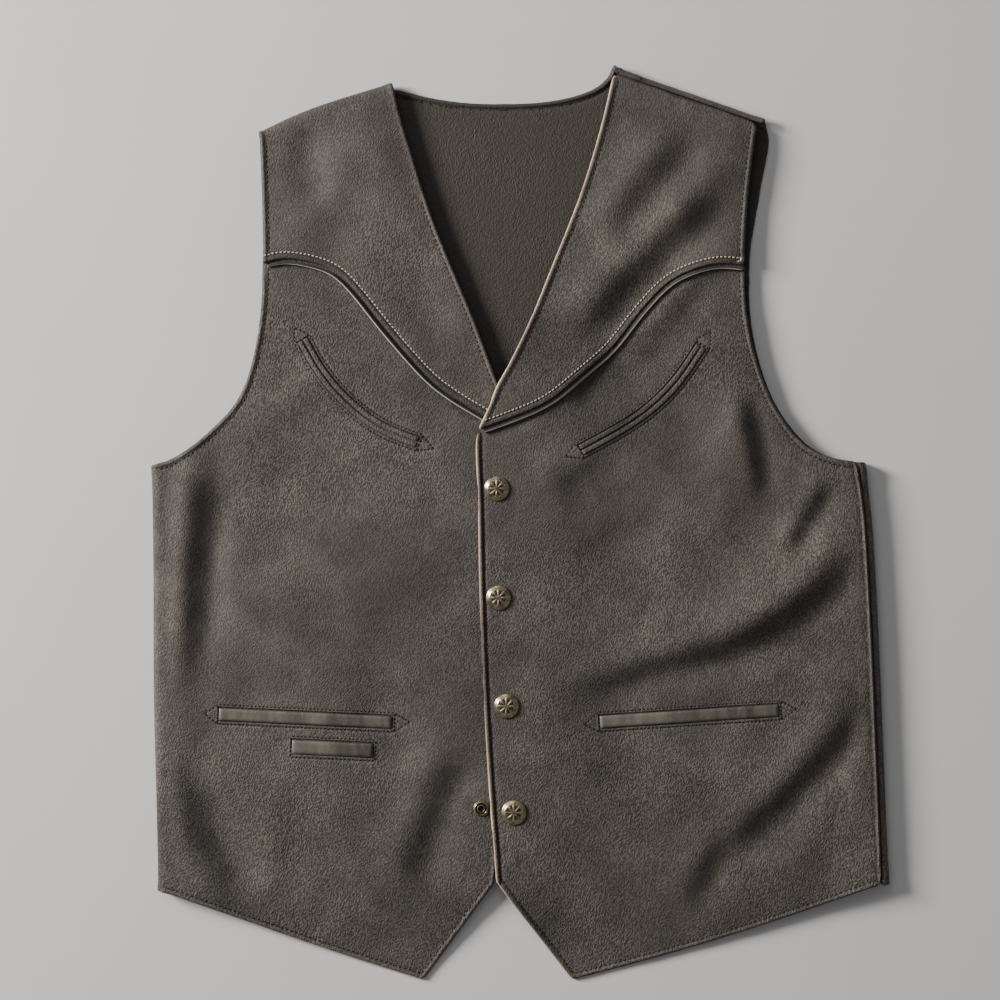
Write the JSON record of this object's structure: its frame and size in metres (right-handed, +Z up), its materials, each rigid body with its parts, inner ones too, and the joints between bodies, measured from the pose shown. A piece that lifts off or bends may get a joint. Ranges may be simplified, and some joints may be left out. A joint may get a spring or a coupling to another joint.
{
  "type": "western vest",
  "caption": "Leather western vest laid flat, front up, with curved yokes, piped seams, curved chest pockets, welt pockets, a snap front and pointed front tips.",
  "frame": {"origin": "middle of the laid-out vest's outline, on the plane it rests on", "axes": "+X is the viewer's right and the wearer's left; +Y runs from the hem to the neck; +Z is up, from the back to the front"},
  "size_m": [0.5622, 0.6969, 0.0166],
  "materials": {
    "leather": "pebbled nubuck, charcoal brown, matte with soft burnished patches",
    "welt_leather": "smooth olive charcoal leather",
    "snap_metal": "antiqued plated brass, satin with dark recesses"
  },
  "bodies": {
    "root": {"back": "leather", "front_right": "leather", "front_left": "leather", "yoke_right": "leather", "yoke_left": "leather", "piping_right": "leather", "piping_left": "leather", "chest_upper_right": "leather", "chest_lower_right": "leather", "chest_upper_left": "leather", "chest_lower_left": "leather", "welt_right": "welt_leather", "welt_left": "welt_leather", "welt_small": "welt_leather", "snap_cap_1": "snap_metal", "snap_cap_2": "snap_metal", "snap_cap_3": "snap_metal", "snap_cap_4": "snap_metal", "snap_socket_1": "snap_metal", "snap_socket_2": "snap_metal", "snap_socket_3": "snap_metal", "snap_socket_4": "snap_metal", "snap_stud_1": "snap_metal", "snap_stud_2": "snap_metal", "snap_stud_3": "snap_metal", "snap_stud_4": "snap_metal"}
  },
  "joints": []
}
